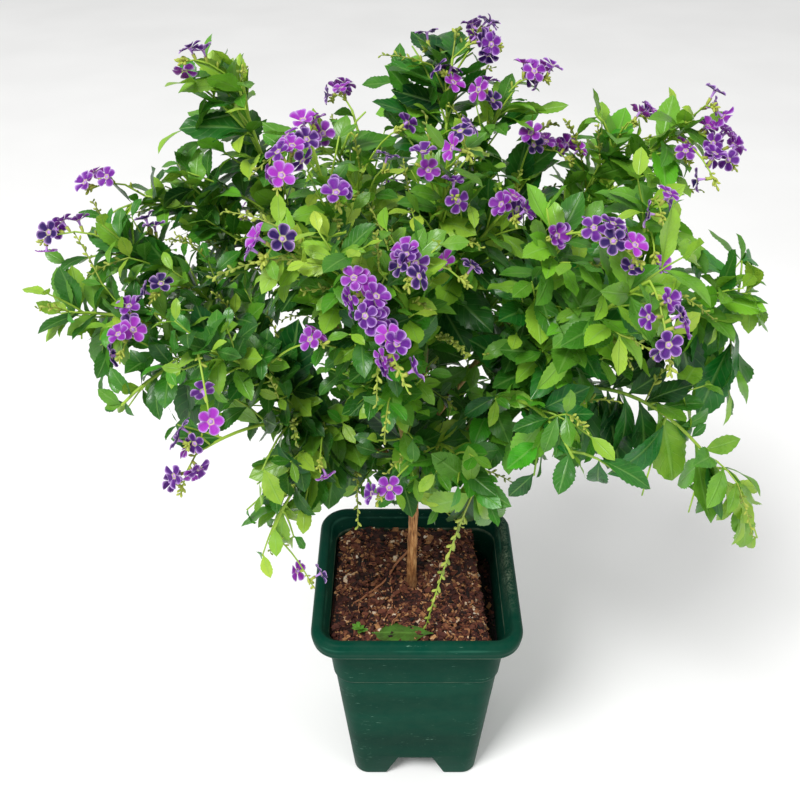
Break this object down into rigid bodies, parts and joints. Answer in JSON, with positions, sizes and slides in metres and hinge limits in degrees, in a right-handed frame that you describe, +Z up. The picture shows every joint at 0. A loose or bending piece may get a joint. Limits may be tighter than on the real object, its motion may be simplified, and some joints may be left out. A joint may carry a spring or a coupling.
{
  "type": "potted flowering shrub with violet sprays",
  "caption": "Golden dewdrop shrub (Duranta erecta) with violet flower sprays, growing in a tapered square green plastic nursery pot",
  "frame": {"origin": "on the ground, under the middle of the whole plant's width and depth", "axes": "+Z up, the tallest extent; the viewer of the picture stands on the -Y side; +X to the viewer's right; metres"},
  "size_m": [0.5328, 0.4071, 0.6715],
  "materials": {
    "pot_plastic": "moulded dark green plastic, softly glossy, with light scratches and dust",
    "potting_mix": "loose damp coir and bark chips, dull",
    "bark": "smooth tan bark, dull",
    "root_skin": "thin reddish root, dull",
    "leaf_green": "glossy dark green leaf with yellower young tips",
    "dropped_leaf": "dull olive leaf",
    "petal_violet": "velvety violet petals with pale margins",
    "bud_green": "yellow-green buds and calyces, satin"
  },
  "bodies": {
    "root": {"pot": "pot_plastic", "soil": "potting_mix", "trunk": "bark", "surface_root": "root_skin", "fallen_leaf": "dropped_leaf", "leafy_stem_upper_left": "leaf_green", "leafy_stem_left_back": "leaf_green", "leafy_stem_back_left": "leaf_green", "leafy_stem_left": "leaf_green", "leafy_stem_left_low": "leaf_green", "leafy_stem_left_front": "leaf_green", "leafy_stem_low_left": "leaf_green", "leafy_stem_low_left_hanging": "leaf_green", "leafy_stem_front_left": "leaf_green", "leafy_stem_front": "leaf_green", "leafy_stem_low_front": "leaf_green", "leafy_stem_front_right": "leaf_green", "leafy_stem_right_front": "leaf_green", "leafy_stem_low_right_front": "leaf_green", "leafy_stem_right": "leaf_green", "leafy_stem_right_hanging": "leaf_green", "leafy_stem_upper_right": "leaf_green", "leafy_stem_right_inner": "leaf_green", "leafy_stem_back_right": "leaf_green", "leafy_stem_top": "leaf_green", "leafy_stem_top_right": "leaf_green", "leafy_stem_top_left": "leaf_green", "leafy_stem_top_front": "leaf_green", "leafy_stem_back": "leaf_green", "leafy_stem_back_top": "leaf_green", "spray_upper_left": "petal_violet", "spray_left_back": "petal_violet", "spray_left": "petal_violet", "spray_left_low": "petal_violet", "spray_left_front": "petal_violet", "spray_left_front_side": "petal_violet", "spray_low_left": "petal_violet", "spray_low_left_hanging": "petal_violet", "spray_front_left": "petal_violet", "spray_front_left_fork": "petal_violet", "spray_front": "petal_violet", "spray_front_upper": "petal_violet", "spray_front_low": "petal_violet", "spray_seed_buds": "bud_green", "spray_front_right": "petal_violet", "spray_right_front": "petal_violet", "spray_right_fork": "petal_violet", "spray_upper_right": "petal_violet", "spray_upper_right_fork": "petal_violet", "spray_right_inner": "petal_violet", "spray_right_back_low": "petal_violet", "spray_top": "petal_violet", "spray_top_right": "petal_violet", "spray_top_left": "petal_violet", "spray_top_front": "petal_violet", "spray_centre_right": "petal_violet", "spray_back": "petal_violet", "spray_back_top": "petal_violet", "spray_back_right": "petal_violet", "spray_back_left": "petal_violet"}
  },
  "joints": []
}
